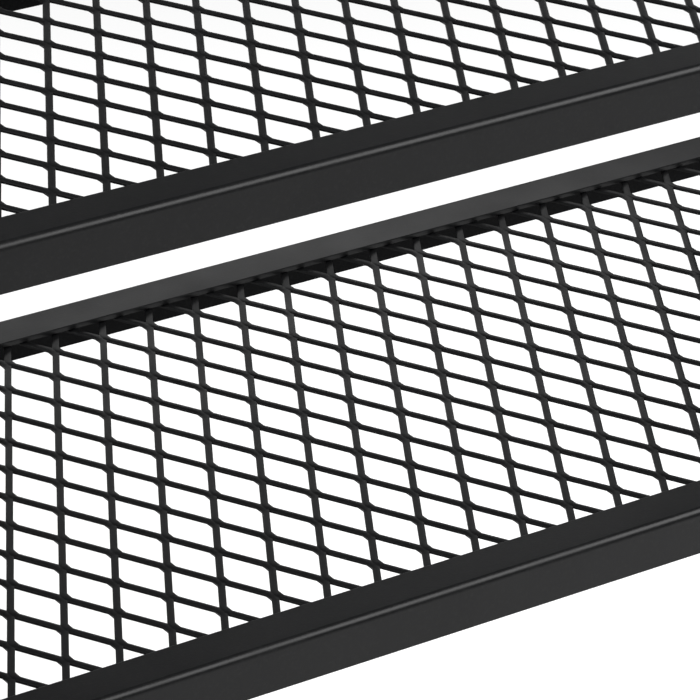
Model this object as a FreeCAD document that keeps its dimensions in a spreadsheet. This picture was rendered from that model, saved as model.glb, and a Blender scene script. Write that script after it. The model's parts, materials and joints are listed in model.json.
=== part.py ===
import FreeCAD, Part
import math
import os
import Sketcher
from FreeCAD import Placement, Rotation, Vector

# Two-tier hitch cargo carrier.
# Frame: millimetres, +Z up, +Y towards the vehicle, +X to the right seen from behind it.
# The origin is where the hitch pin's axis crosses the middle of the shank.
# Two decks of expanded metal in angle-iron frames stand one above the other on posts. A square
# beam under the lower deck folds up on a pivot bolt at the end of the shank. A second bolt runs
# in a curved slot of the two yoke plates, and its star knob clamps the fold where it is.

# ---------------------------------------------------------------- driving sizes

SIZES = [
    ("deck_length", 1524.0, "both decks, end to end, without posts"),
    ("lower_depth", 361.0, "lower deck, rear face to front face"),
    ("upper_setback", 76.2, "upper deck's rear face ahead of the lower deck's"),
    ("tier_rise", 203.2, "top of lower frame to top of upper frame"),
    ("angle_leg", 25.4, "angle iron, each leg"),
    ("angle_wall", 3.0, "angle iron, thickness"),
    ("angle_round", 3.6, "angle iron, outer corner radius"),
    ("angle_root", 0.8, "angle iron, inner corner radius"),
    ("mesh_height", 3.4, "expanded metal, overall thickness"),
    ("mesh_short_way", 29.5, "expanded metal, pitch along the deck"),
    ("mesh_long_way", 50.0, "expanded metal, pitch across the deck"),
    ("mesh_strand", 3.4, "expanded metal, strand width"),
    ("mesh_edge_gap", 1.0, "sheet edge to inside of frame leg, past the angle's inner corner"),
    ("mesh_start_along_lower", -8.85, "middle of one opening from the lower deck's middle"),
    ("mesh_start_across_lower", 120.6, "middle of one opening from the lower rear flange edge"),
    ("mesh_start_along_upper", -1.5, "middle of one opening from the upper deck's middle"),
    ("mesh_start_across_upper", 69.3, "middle of one opening from the upper rear flange edge"),
    ("tube_side", 50.8, "shank and beam, square outside"),
    ("tube_wall", 4.8, "shank and beam, wall"),
    ("tube_corner", 6.0, "shank and beam, outer corner radius"),
    ("tube_inner_corner", 1.6, "shank and beam, inner corner radius"),
    ("shank_nose", 57.0, "hitch pin to the shank's front end"),
    ("shank_tail", 30.0, "pivot to the shank's rear end"),
    ("hitch_hole_radius", 8.2, "hole for a 5/8 inch hitch pin"),
    ("pivot_reach", 345.0, "hitch pin to pivot bolt"),
    ("beam_start", 47.0, "pivot to the beam's front end"),
    ("deck_start", 54.0, "pivot to the deck's front face"),
    ("beam_inset", 6.0, "beam's rear end ahead of the lower deck's rear face"),
    ("plug_lip", 3.0, "tube plug, lip thickness"),
    ("plug_depth", 14.0, "tube plug, length inside the tube"),
    ("plug_gap", 0.3, "tube plug to tube wall"),
    ("yoke_wall", 6.0, "yoke plate thickness"),
    ("yoke_gap", 0.35, "yoke plate to shank and beam"),
    ("yoke_arm", 84.0, "yoke plate along the beam, from the beam's front end"),
    ("yoke_half_height", 21.0, "yoke arm, half its height"),
    ("slot_radius", 60.0, "pivot to the clamp bolt's slot"),
    ("slot_rim", 15.0, "plate left around the slot, from its centre line"),
    ("slot_gap", 0.4, "clamp bolt to slot wall"),
    ("fold_angle", 90.0, "how far the decks fold up, in degrees"),
    ("rim_angle", 18.0, "plate beyond each end of the slot, in degrees"),
    ("pivot_radius", 8.0, "pivot bolt"),
    ("clamp_radius", 6.0, "clamp bolt"),
    ("running_gap", 0.05, "bolt to hole, radial"),
    ("side_gap", 0.35, "between pieces that slide past each other"),
    ("washer_wall", 2.4, "washer thickness"),
    ("washer_margin", 7.0, "washer outside the bolt, radial"),
    ("pivot_head_flats", 24.0, "pivot bolt head and nut, across flats"),
    ("pivot_head_height", 10.0, "pivot bolt head and nut"),
    ("clamp_head_flats", 18.0, "clamp bolt head, across flats"),
    ("clamp_head_height", 7.5, "clamp bolt head"),
    ("bolt_tip", 3.0, "bolt end beyond its nut"),
    ("knob_radius", 20.0, "star knob, hub"),
    ("knob_lobe_radius", 6.5, "star knob, each lobe"),
    ("knob_height", 16.0, "star knob"),
    ("knob_bore_gap", 0.1, "star knob's bore to the clamp bolt"),
    ("post_bolt_radius", 4.0, "post bolt"),
    ("post_bolt_flats", 13.0, "post bolt head and nut, across flats"),
    ("post_bolt_head", 5.5, "post bolt head and nut, height"),
    ("post_bolt_drop", 15.6, "post bolt below the top of its frame"),
    ("post_bolt_gap", 0.2, "post bolt to hole, radial"),
    ("post_bolt_inset", 15.2, "post bolt from the outer corner of its angle-iron post"),
    ("drill_length", 12.0, "cut for a post bolt, through a post and an end bar and clear of both"),
    ("strap_width", 38.0, "centre front post, width"),
    ("strap_wall", 6.0, "centre front post, thickness"),
    ("prop_side", 25.4, "centre rear post, square outside"),
    ("prop_wall", 2.0, "centre rear post, wall"),
    ("prop_corner", 3.0, "centre rear post, outer corner radius"),
    ("prop_gap", 2.0, "sheet cut away around the centre rear post"),
    ("support_width", 38.0, "deck support under the sheet, width"),
    ("support_wall", 2.0, "deck support, wall"),
    ("support_corner", 3.0, "deck support, outer corner radius"),
    ("ring_rod", 3.0, "tie-down ring, rod radius"),
    ("ring_width", 34.0, "tie-down ring, across, rod middle to rod middle"),
    ("ring_drop", 40.0, "tie-down ring, pivot to far bar, rod middle to rod middle"),
    ("ring_bend", 6.0, "tie-down ring, bend radius at its corners"),
    ("ring_gap", 0.35, "tie-down ring to its saddle"),
    ("ring_rear_place", 38.0, "rear rings from the lower deck's rear face"),
    ("ring_front_place", 95.0, "front rings from the lower deck's front face"),
    ("saddle_width", 18.0, "ring saddle along the ring's bar"),
    ("saddle_wall", 2.4, "ring saddle over the rod"),
    ("ring_standoff", 5.5, "ring's bar from the face of the end bar"),
]

doc = FreeCAD.newDocument("two_tier_cargo_carrier")
sheet = doc.addObject("Spreadsheet::Sheet", "Sizes")


class Size:
    """A size that knows its number and its expression on the sheet."""

    def __init__(self, number, text):
        self.number = float(number)
        self.text = text

    def __add__(self, other):
        other = as_size(other)
        return Size(self.number + other.number, f"({self.text} + {other.text})")

    def __sub__(self, other):
        other = as_size(other)
        return Size(self.number - other.number, f"({self.text} - {other.text})")

    def __mul__(self, factor):
        factor = as_size(factor)
        return Size(self.number * factor.number, f"({self.text} * {factor.text})")

    def __truediv__(self, factor):
        factor = as_size(factor)
        return Size(self.number / factor.number, f"({self.text} / {factor.text})")

    def __neg__(self):
        return Size(-self.number, f"(0 - {self.text})")

    __radd__ = __add__
    __rmul__ = __mul__


def as_size(value):
    """A plain number stays a number in an expression."""
    if isinstance(value, Size):
        return value
    return Size(value, f"{float(value):.9g}" if value >= 0 else f"(0 - {-float(value):.9g})")


def fill_sheet():
    """Write every driving size to the sheet, and return them by name."""
    sizes = {}
    for row, (alias, number, note) in enumerate(SIZES, start=1):
        sheet.set(f"A{row}", alias)
        sheet.set(f"B{row}", str(number))
        sheet.set(f"C{row}", note)
        sheet.setAlias(f"B{row}", alias)
        sizes[alias] = Size(number, f"Sizes.{alias}")
    doc.recompute()
    return sizes


size = fill_sheet()
pieces = []

# ---------------------------------------------------------------- places worked out once

half_length = size["deck_length"] / 2
leg = size["angle_leg"]
wall = size["angle_wall"]
tube_half = size["tube_side"] / 2
lower_top = tube_half + leg
upper_top = lower_top + size["tier_rise"]
pivot_y = -size["pivot_reach"]
front_y = pivot_y - size["deck_start"]
lower_rear_y = front_y - size["lower_depth"]
upper_rear_y = lower_rear_y + size["upper_setback"]
upper_depth = size["lower_depth"] - size["upper_setback"]
clamp_y = pivot_y + size["slot_radius"]
support_height = leg - wall - size["mesh_height"]
yoke_inner = tube_half + size["yoke_gap"]
yoke_outer = yoke_inner + size["yoke_wall"]
washer_seat = yoke_outer + size["side_gap"]
nut_seat = washer_seat + size["washer_wall"]
prop_y = upper_rear_y + wall + size["prop_side"] / 2
X_AXIS = Vector(1, 0, 0)
Y_AXIS = Vector(0, 1, 0)
Z_AXIS = Vector(0, 0, 1)
NO_TURN = Rotation()

# ---------------------------------------------------------------- helpers


def bind(thing, path, value):
    """Tie one property of an object to the sheet."""
    thing.setExpression(path, as_size(value).text)


def put(thing, place, turn=NO_TURN):
    """Set an object's Placement and tie its three coordinates to the sheet."""
    x, y, z = (as_size(value) for value in place)
    thing.Placement = Placement(Vector(x.number, y.number, z.number), turn)
    bind(thing, ".Placement.Base.x", x)
    bind(thing, ".Placement.Base.y", y)
    bind(thing, ".Placement.Base.z", z)
    return thing


def keep(label, thing):
    """Name a finished sub-part; it becomes one file."""
    thing.Label = label
    pieces.append(thing)
    return thing


def box(name, corner, lengths):
    thing = doc.addObject("Part::Box", name)
    for path, value in zip(("Length", "Width", "Height"), lengths):
        bind(thing, path, value)
    return put(thing, corner)


def rod(name, start, along, radius, length):
    """A cylinder that starts at a point and runs along a direction."""
    thing = doc.addObject("Part::Cylinder", name)
    bind(thing, "Radius", radius)
    bind(thing, "Height", length)
    return put(thing, start, Rotation(Z_AXIS, along))


def hexagon(name, start, along, flats, height):
    thing = doc.addObject("Part::Prism", name)
    thing.Polygon = 6
    bind(thing, "Circumradius", flats / math.sqrt(3))
    bind(thing, "Height", height)
    return put(thing, start, Rotation(Z_AXIS, along))


def fuse(name, things):
    thing = doc.addObject("Part::MultiFuse", name)
    thing.Shapes = things
    thing.Refine = True
    return thing


def cut(name, base, tools):
    thing = doc.addObject("Part::Cut", name)
    thing.Base = base
    thing.Tool = tools[0] if len(tools) == 1 else fuse(f"{name}_tools", tools)
    return thing


def group(name, things):
    thing = doc.addObject("Part::Compound", name)
    thing.Links = things
    return thing


def origin_plane(body, role):
    return next(item for item in body.Origin.OriginFeatures if item.Role == role)


def new_sketch(body, name, role):
    sketch = body.newObject("Sketcher::SketchObject", name)
    sketch.AttachmentSupport = [(origin_plane(body, role), "")]
    sketch.MapMode = "FlatFace"
    return sketch


def tie(sketch, kind, index, position, value):
    """Fix one coordinate of a sketch point, measured from the sketch's origin."""
    number = as_size(value).number
    row = sketch.addConstraint(Sketcher.Constraint(kind, -1, 1, index, position, number))
    sketch.setExpression(f"Constraints[{row}]", as_size(value).text)


def square_outline(sketch, corners):
    """A closed outline of level and upright lines; a corner is (x, y) or (x, y, round radius)."""
    count = len(corners)
    radii = [as_size(corner[2]) if len(corner) > 2 else as_size(0) for corner in corners]
    points = [(as_size(corner[0]), as_size(corner[1])) for corner in corners]
    flat = [Vector(x.number, y.number, 0) for x, y in points]
    lines = []
    for index in range(count):
        after = (index + 1) % count
        way = (flat[after] - flat[index]).normalize()
        start = flat[index] + way * radii[index].number
        end = flat[after] - way * radii[after].number
        lines.append(sketch.addGeometry(Part.LineSegment(start, end)))
        level = abs(way.y) < abs(way.x)
        sketch.addConstraint(Sketcher.Constraint("Horizontal" if level else "Vertical", lines[-1]))
        if level:
            tie(sketch, "DistanceY", lines[-1], 1, points[index][1])
        else:
            tie(sketch, "DistanceX", lines[-1], 1, points[index][0])
    for index in range(count):
        before = lines[index - 1]
        after = lines[index]
        if radii[index].number == 0:
            sketch.addConstraint(Sketcher.Constraint("Coincident", before, 2, after, 1))
            continue
        come = (flat[index] - flat[index - 1]).normalize()
        go = (flat[(index + 1) % count] - flat[index]).normalize()
        radius = radii[index].number
        start = flat[index] - come * radius
        end = flat[index] + go * radius
        centre = start + go * radius
        middle = centre + (flat[index] - centre).normalize() * radius
        arc = sketch.addGeometry(Part.Arc(start, middle, end))
        turning_left = come.cross(go).z > 0
        first, last = (1, 2) if turning_left else (2, 1)
        sketch.addConstraint(Sketcher.Constraint("Tangent", before, 2, arc, first))
        sketch.addConstraint(Sketcher.Constraint("Tangent", after, 1, arc, last))
        row = sketch.addConstraint(Sketcher.Constraint("Radius", arc, radius))
        sketch.setExpression(f"Constraints[{row}]", radii[index].text)


def corner_outline(sketch, corners):
    """A closed outline with every corner fixed by its two coordinates."""
    points = [(as_size(x), as_size(y)) for x, y in corners]
    count = len(points)
    for index in range(count):
        x, y = points[index]
        next_x, next_y = points[(index + 1) % count]
        start = Vector(x.number, y.number, 0)
        end = Vector(next_x.number, next_y.number, 0)
        line = sketch.addGeometry(Part.LineSegment(start, end))
        tie(sketch, "DistanceX", line, 1, x)
        tie(sketch, "DistanceY", line, 1, y)
    first = sketch.GeometryCount - count
    for index in range(count):
        after = first + (index + 1) % count
        sketch.addConstraint(Sketcher.Constraint("Coincident", first + index, 2, after, 1))


def pad(body, sketch, length):
    """Extrude a sketch half to each side of its plane."""
    feature = body.newObject("PartDesign::Pad", f"{sketch.Name}_pad")
    feature.Profile = sketch
    bind(feature, "Length", length)
    feature.Midplane = True
    return feature


def angle_iron(name, length, root=size["angle_root"]):
    """A bar of angle iron along X: outer corner on the X axis, legs towards +Y and -Z."""
    body = doc.addObject("PartDesign::Body", name)
    section = new_sketch(body, f"{name}_section", "YZ_Plane")
    outline = [
        (0, -leg),
        (wall, -leg),
        (wall, -wall, root),
        (leg, -wall),
        (leg, 0),
        (0, 0, size["angle_round"]),
    ]
    square_outline(section, outline)
    pad(body, section, length)
    return body


def mitre(body, length):
    """Cut both ends of an angle iron bar at 45 degrees, so that four bars close a frame."""
    doc.recompute()
    whole = body.Shape.Volume
    cutter = new_sketch(body, f"{body.Name}_mitre", "XY_Plane")
    margin = wall
    for side in (1, -1):
        end = length / 2 * side
        corners = [
            (end + margin * side, -margin),
            (end + margin * side, leg + margin),
            (end - (leg + margin) * side, leg + margin),
        ]
        corner_outline(cutter, corners)
    pocket = body.newObject("PartDesign::Pocket", f"{body.Name}_pocket")
    pocket.Profile = cutter
    bind(pocket, "Length", leg + margin)
    doc.recompute()
    if body.Shape.Volume >= whole:
        raise ValueError(f"the mitre of {body.Name} cut nothing")


def square_tube(name, width, height, thickness, corner, inner_corner, length):
    """A rectangular tube along Y, centred on its own origin."""
    body = doc.addObject("PartDesign::Body", name)
    section = new_sketch(body, f"{name}_section", "XZ_Plane")
    outlines = [(width / 2, height / 2, corner)]
    if thickness is not None:
        outlines.append((width / 2 - thickness, height / 2 - thickness, inner_corner))
    for half_x, half_z, radius in outlines:
        corners = [
            (-half_x, -half_z, radius),
            (half_x, -half_z, radius),
            (half_x, half_z, radius),
            (-half_x, half_z, radius),
        ]
        square_outline(section, corners)
    pad(body, section, length)
    return body


def bolt(name, seat, along, radius, grip, flats, head):
    """A hex bolt whose head stands on its seat and whose shaft runs along a direction."""
    shaft = rod(f"{name}_shaft", seat, along, radius, grip)
    top = hexagon(f"{name}_head", seat, along * -1, flats, head)
    return fuse(name, [shaft, top])


def nut(name, seat, along, bolt_radius, flats, height):
    """A hex nut that starts at its seat and grows along a direction."""
    blank = hexagon(f"{name}_blank", seat, along, flats, height)
    hole = rod(f"{name}_hole", seat, along, bolt_radius + size["running_gap"], height)
    return cut(name, blank, [hole])


def washer(name, seat, along, bolt_radius):
    disc = rod(f"{name}_disc", seat, along, bolt_radius + size["washer_margin"], size["washer_wall"])
    hole_radius = bolt_radius + size["running_gap"]
    hole = rod(f"{name}_hole", seat, along, hole_radius, size["washer_wall"])
    return cut(name, disc, [hole])


# ---------------------------------------------------------------- shank and its bolts

LEFT = ("left", -1)
RIGHT = ("right", 1)


def across_tube(name, y, radius):
    """A hole through a tube from side to side."""
    return rod(name, (-yoke_outer, y, 0), X_AXIS, radius, yoke_outer * 2)


def make_shank():
    length = size["shank_nose"] + size["pivot_reach"] + size["shank_tail"]
    tube = square_tube("shank_body", size["tube_side"], size["tube_side"], size["tube_wall"],
                       size["tube_corner"], size["tube_inner_corner"], length)
    put(tube, (0, size["shank_nose"] - length / 2, 0))
    holes = [
        across_tube("hitch_hole", 0, size["hitch_hole_radius"]),
        across_tube("pivot_hole", pivot_y, size["pivot_radius"] + size["running_gap"]),
        across_tube("clamp_hole", clamp_y, size["clamp_radius"] + size["running_gap"]),
    ]
    keep("shank", cut("shank_drilled", tube, holes))


def make_plug(label, end_y, outwards):
    """A plastic plug: a lip over the tube's end and a block inside it."""
    lip = square_tube(f"{label}_lip", size["tube_side"], size["tube_side"], None,
                      size["tube_corner"], None, size["plug_lip"])
    put(lip, (0, end_y + size["plug_lip"] / 2 * outwards, 0))
    inside = size["tube_side"] - size["tube_wall"] * 2 - size["plug_gap"] * 2
    block = square_tube(f"{label}_block", inside, inside, None,
                        size["tube_inner_corner"], None, size["plug_depth"])
    put(block, (0, end_y - size["plug_depth"] / 2 * outwards, 0))
    keep(label, fuse(f"{label}_fused", [lip, block]))


def make_pivot_bolt():
    reach = nut_seat * 2 + size["pivot_head_height"] + size["bolt_tip"]
    seat = (-nut_seat, pivot_y, 0)
    keep("pivot_bolt", bolt("pivot_bolt_solid", seat, X_AXIS, size["pivot_radius"], reach,
                            size["pivot_head_flats"], size["pivot_head_height"]))
    keep("pivot_nut", nut("pivot_nut_solid", (nut_seat, pivot_y, 0), X_AXIS, size["pivot_radius"],
                          size["pivot_head_flats"], size["pivot_head_height"]))
    washers = [
        washer(f"pivot_washer_{side}", (washer_seat * sign, pivot_y, 0), X_AXIS * sign,
               size["pivot_radius"])
        for side, sign in (LEFT, RIGHT)
    ]
    keep("pivot_washers", group("pivot_washer_pair", washers))


def make_clamp_bolt():
    reach = nut_seat * 2 + size["knob_height"]
    seat = (-nut_seat, clamp_y, 0)
    keep("clamp_bolt", bolt("clamp_bolt_solid", seat, X_AXIS, size["clamp_radius"], reach,
                            size["clamp_head_flats"], size["clamp_head_height"]))
    washers = [
        washer(f"clamp_washer_{side}", (washer_seat * sign, clamp_y, 0), X_AXIS * sign,
               size["clamp_radius"])
        for side, sign in (LEFT, RIGHT)
    ]
    keep("clamp_washers", group("clamp_washer_pair", washers))


def make_clamp_knob():
    """A star knob: a hub with lobes around it, bored for the clamp bolt."""
    lobes = 6
    start = nut_seat + size["side_gap"]
    height = size["knob_height"] - size["side_gap"]
    hub = rod("knob_hub", (start, clamp_y, 0), X_AXIS, size["knob_radius"], height)
    solids = [hub]
    for index in range(lobes):
        turn = 2 * math.pi * index / lobes
        centre = (
            start,
            clamp_y + size["knob_radius"] * math.cos(turn),
            size["knob_radius"] * math.sin(turn),
        )
        solids.append(rod(f"knob_lobe_{index}", centre, X_AXIS, size["knob_lobe_radius"], height))
    bore = rod("knob_bore", (start, clamp_y, 0), X_AXIS,
               size["clamp_radius"] + size["knob_bore_gap"], height)
    keep("clamp_knob", cut("knob_bored", fuse("knob_star", solids), [bore]))


# ---------------------------------------------------------------- yoke and beam


def make_yoke_plate(side, sign):
    """One side of the yoke: an arm along the beam, and a sector with the clamp bolt's slot."""
    inner_x = yoke_inner if sign > 0 else -yoke_outer
    thickness = size["yoke_wall"]
    start = (inner_x, pivot_y, 0)
    rim = size["slot_radius"] + size["slot_rim"]
    slot_half = size["clamp_radius"] + size["slot_gap"]
    fold = size["fold_angle"]

    def sector(name, radius, angle, first):
        """A sector around the pivot that starts a given angle past level, towards +Z."""
        thing = rod(name, start, X_AXIS, radius, thickness)
        bind(thing, "Angle", angle)
        thing.Placement.Rotation = Rotation(X_AXIS, first) * Rotation(Y_AXIS, Z_AXIS, X_AXIS, "XYZ")
        return thing

    plate_sector = sector(f"{side}_yoke_sector", rim, fold + size["rim_angle"] * 2,
                          -size["rim_angle"].number)
    hub = rod(f"{side}_yoke_hub", start, X_AXIS, size["yoke_half_height"], thickness)
    arm_length = size["beam_start"] + size["yoke_arm"]
    arm = box(f"{side}_yoke_arm", (inner_x, pivot_y - arm_length, -size["yoke_half_height"]),
              (thickness, arm_length, size["yoke_half_height"] * 2))
    blank = fuse(f"{side}_yoke_blank", [plate_sector, hub, arm])
    ring = cut(f"{side}_slot_ring",
               sector(f"{side}_slot_outer", size["slot_radius"] + slot_half, fold, 0.0),
               [sector(f"{side}_slot_inner", size["slot_radius"] - slot_half, fold, 0.0)])
    slot_bottom = rod(f"{side}_slot_bottom", (inner_x, clamp_y, 0), X_AXIS, slot_half, thickness)
    slot_top = rod(f"{side}_slot_top", (inner_x, pivot_y, size["slot_radius"]), X_AXIS,
                   slot_half, thickness)
    hole = rod(f"{side}_yoke_hole", start, X_AXIS, size["pivot_radius"] + size["running_gap"],
               thickness)
    keep(f"yoke_plate_{side}", cut(f"{side}_yoke_plate", blank, [ring, slot_bottom, slot_top, hole]))


def make_beam():
    front = pivot_y - size["beam_start"]
    length = front - lower_rear_y - size["beam_inset"]
    tube = square_tube("beam_body", size["tube_side"], size["tube_side"], size["tube_wall"],
                       size["tube_corner"], size["tube_inner_corner"], length)
    put(tube, (0, front - length / 2, 0))
    keep("deck_beam", tube)


# ---------------------------------------------------------------- decks

DECKS = {
    "lower": (lower_rear_y, size["lower_depth"], lower_top),
    "upper": (upper_rear_y, upper_depth, upper_top),
}


def post_bolt_places():
    """Post bolts through the end bars: (name, side sign, y, z, deck)."""
    places = []
    rear_y = upper_rear_y - wall + size["post_bolt_inset"]
    post_front_y = front_y + wall - size["post_bolt_inset"]
    for side, sign in (LEFT, RIGHT):
        for row, y in (("rear", rear_y), ("front", post_front_y)):
            for deck, (_, _, top) in DECKS.items():
                places.append((f"{deck}_{row}_{side}", sign, y, top - size["post_bolt_drop"], deck))
    return places


def end_holes(name, deck, sign):
    """Holes through one end bar for its post bolts."""
    tools = []
    for place, place_sign, y, z, place_deck in post_bolt_places():
        if place_sign == sign and place_deck == deck:
            outer = (half_length + wall * 2) * sign
            tools.append(rod(f"{name}_{place}_hole", (outer, y, z), X_AXIS * -sign,
                             size["post_bolt_radius"] + size["post_bolt_gap"], size["drill_length"]))
    return tools


def strap_hole(name, top):
    """The hole for the centre front post's bolt in a front bar."""
    place = (0, front_y + size["strap_wall"] * 2, top - size["post_bolt_drop"])
    return rod(name, place, -Y_AXIS, size["post_bolt_radius"] + size["post_bolt_gap"],
               size["strap_wall"] * 2 + wall * 2)


def make_frame(deck):
    rear_y, depth, top = DECKS[deck]
    length = size["deck_length"]
    rear = angle_iron(f"{deck}_rear_bar", length)
    mitre(rear, length)
    keep(f"{deck}_rear_rail", put(rear, (0, rear_y, top)))
    front = angle_iron(f"{deck}_front_bar", length)
    mitre(front, length)
    put(front, (0, rear_y + depth, top), Rotation(Z_AXIS, 180))
    keep(f"{deck}_front_rail", cut(f"{deck}_front_drilled", front, [strap_hole(f"{deck}_rail_hole", top)]))
    for side, sign in (LEFT, RIGHT):
        bar = angle_iron(f"{deck}_{side}_bar", depth)
        mitre(bar, depth)
        put(bar, (half_length * sign, rear_y + depth / 2, top), Rotation(Z_AXIS, 90 * sign))
        holes = end_holes(f"{deck}_{side}", deck, sign)
        keep(f"{deck}_{side}_end_rail", cut(f"{deck}_{side}_drilled", bar, holes))


def diamond(x, y, half_along, half_across):
    """One opening of the expanded metal, with its long way across the deck."""
    return [(x + half_along, y), (x, y + half_across), (x - half_along, y), (x, y - half_across)]


def clip_side(corners, axis, limit, sign):
    """Keep the part of a convex outline that lies below (sign 1) or above (sign -1) a limit."""
    kept = []
    for index, corner in enumerate(corners):
        before = corners[index - 1]
        depth = (limit - corner[axis]) * sign
        depth_before = (limit - before[axis]) * sign
        if (depth > 0) != (depth_before > 0):
            share = depth_before / (depth_before - depth)
            kept.append(tuple(a + (b - a) * share for a, b in zip(before, corner)))
        if depth > 0:
            kept.append(corner)
    return kept


def rectangle(low_x, low_y, high_x, high_y):
    return [(low_x, low_y), (high_x, low_y), (high_x, high_y), (low_x, high_y)]


def outline_wire(corners, height):
    points = [Vector(x, y, height) for x, y in corners]
    return Part.makePolygon(points + points[:1])


def make_sheet(deck):
    """The expanded metal sheet under the frame's flanges, as one flat grille."""
    rear_y, depth, top = (value.number for value in DECKS[deck])
    short_way = size["mesh_short_way"].number
    long_way = size["mesh_long_way"].number
    strand = size["mesh_strand"].number
    gap = wall.number + size["mesh_edge_gap"].number
    low_y = rear_y + gap
    high_y = rear_y + depth - gap
    half_x = half_length.number - gap
    bottom = top - wall.number - size["mesh_height"].number
    start_x = size[f"mesh_start_along_{deck}"].number
    start_y = rear_y + leg.number + size[f"mesh_start_across_{deck}"].number
    slope = math.atan2(short_way, long_way)
    half_along = short_way / 2 - strand / 2 / math.cos(slope)
    half_across = long_way / 2 - strand / 2 / math.sin(slope)
    prop_hole = size["prop_side"].number / 2 + size["prop_gap"].number
    outlines = [rectangle(-half_x, low_y, half_x, high_y)]
    columns = math.ceil(half_x / short_way) * 2 + 2
    rows = math.ceil(depth / long_way) * 2 + 2
    for column in range(-columns, columns + 1):
        for row in range(-rows, rows + 1):
            if (column + row) % 2:
                continue
            x = start_x + column * short_way / 2
            y = start_y + row * long_way / 2
            beside_prop = abs(x) < prop_hole + half_along + strand
            along_prop = abs(y - prop_y.number) < prop_hole + half_across + strand
            if deck == "lower" and beside_prop and along_prop:
                continue
            hole = diamond(x, y, half_along, half_across)
            for axis, limit, sign in (
                (0, half_x - strand, 1),
                (0, strand - half_x, -1),
                (1, high_y - strand, 1),
                (1, low_y + strand, -1),
            ):
                hole = clip_side(hole, axis, limit, sign)
            if len(hole) > 2 and Part.Face(outline_wire(hole, bottom)).Area > strand * strand:
                outlines.append(hole)
    if deck == "lower":
        low = prop_y.number - prop_hole
        high = prop_y.number + prop_hole
        outlines.append(rectangle(-prop_hole, low, prop_hole, high))
    wires = [outline_wire(corners, bottom) for corners in outlines]
    face = Part.Face(wires, "Part::FaceMakerBullseye")
    thing = doc.addObject("Part::Feature", f"{deck}_sheet")
    thing.Shape = face.extrude(Vector(0, 0, size["mesh_height"].number))
    keep(f"{deck}_mesh", thing)


def make_support(deck):
    """A flat tube under the middle of the sheet, from leg to leg."""
    rear_y, depth, top = DECKS[deck]
    length = depth - wall * 2
    tube = square_tube(f"{deck}_support_body", size["support_width"], support_height,
                       size["support_wall"], size["support_corner"],
                       size["support_corner"] - size["support_wall"], length)
    middle_z = top - leg + support_height / 2
    put(tube, (0, rear_y + depth / 2, middle_z))
    keep(f"{deck}_support", tube)


# ---------------------------------------------------------------- posts


def corner_post(row, side, sign, turn):
    """Angle iron that wraps one corner of the upper deck and reaches the lower end bar."""
    bottom = lower_top - leg
    height = upper_top - bottom
    body = angle_iron(f"{row}_{side}_post_body", height, root=0)
    upright = Rotation(Z_AXIS, X_AXIS, Y_AXIS, "XYZ")
    corner_y = front_y + wall if row == "front" else upper_rear_y - wall
    put(body, ((half_length + wall) * sign, corner_y, bottom + height / 2),
        Rotation(Z_AXIS, turn) * upright)
    tools = []
    for place, place_sign, y, z, _ in post_bolt_places():
        if place_sign == sign and row in place:
            tools.append(rod(f"post_{place}_hole", ((half_length + wall * 2) * sign, y, z),
                             X_AXIS * -sign, size["post_bolt_radius"] + size["post_bolt_gap"],
                             size["drill_length"]))
    if row == "rear":
        low_x = half_length - leg * 2 if sign > 0 else -half_length
        tools.append(box(f"{row}_{side}_notch", (low_x, upper_rear_y - leg, bottom - wall),
                         (leg * 2, leg * 2, leg + wall)))
    keep(f"{row}_post_{side}", cut(f"{row}_{side}_post", body, tools))


def make_posts():
    corner_post("front", "left", -1, 0)
    corner_post("rear", "left", -1, 90)
    corner_post("rear", "right", 1, 180)
    corner_post("front", "right", 1, 270)


def make_centre_posts():
    bottom = lower_top - leg
    strap = box("strap_blank", (-size["strap_width"] / 2, front_y, bottom),
                (size["strap_width"], size["strap_wall"], upper_top - bottom - size["angle_round"]))
    holes = [strap_hole(f"strap_{deck}_hole", top) for deck, (_, _, top) in DECKS.items()]
    keep("centre_front_post", cut("strap_drilled", strap, holes))
    foot = lower_top - leg + support_height
    height = upper_top - leg - foot
    prop = square_tube("prop_body", size["prop_side"], size["prop_side"], size["prop_wall"],
                       size["prop_corner"], size["prop_corner"] - size["prop_wall"], height)
    put(prop, (0, prop_y, foot + height / 2), Rotation(X_AXIS, 90))
    keep("centre_rear_post", prop)


def make_post_bolts():
    for side, sign in (LEFT, RIGHT):
        bolts = []
        nuts = []
        for place, place_sign, y, z, _ in post_bolt_places():
            if place_sign != sign:
                continue
            inwards = X_AXIS * -sign
            seat = ((half_length + wall) * sign, y, z)
            nut_place = ((half_length - wall) * sign, y, z)
            grip = wall * 2 + size["post_bolt_head"] + size["bolt_tip"]
            bolts.append(bolt(f"post_bolt_{place}", seat, inwards, size["post_bolt_radius"], grip,
                              size["post_bolt_flats"], size["post_bolt_head"]))
            nuts.append(nut(f"post_nut_{place}", nut_place, inwards, size["post_bolt_radius"],
                            size["post_bolt_flats"], size["post_bolt_head"]))
        keep(f"post_bolts_{side}", group(f"post_bolt_set_{side}", bolts))
        keep(f"post_nuts_{side}", group(f"post_nut_set_{side}", nuts))


def make_strap_bolts():
    """Two bolts screw the centre front post to the front rails; their tips end at the supports."""
    bolts = []
    for _, _, top in DECKS.values():
        z = top - size["post_bolt_drop"]
        seat = (0, front_y + size["strap_wall"], z)
        grip = size["strap_wall"] + wall
        bolts.append(bolt(f"strap_bolt_{len(bolts)}", seat, -Y_AXIS, size["post_bolt_radius"], grip,
                          size["post_bolt_flats"], size["post_bolt_head"]))
    keep("centre_post_bolts", group("strap_bolt_pair", bolts))


# ---------------------------------------------------------------- tie-down rings


def ring_y(row):
    if row == "rear":
        return lower_rear_y + size["ring_rear_place"]
    return front_y - size["ring_front_place"]


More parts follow.
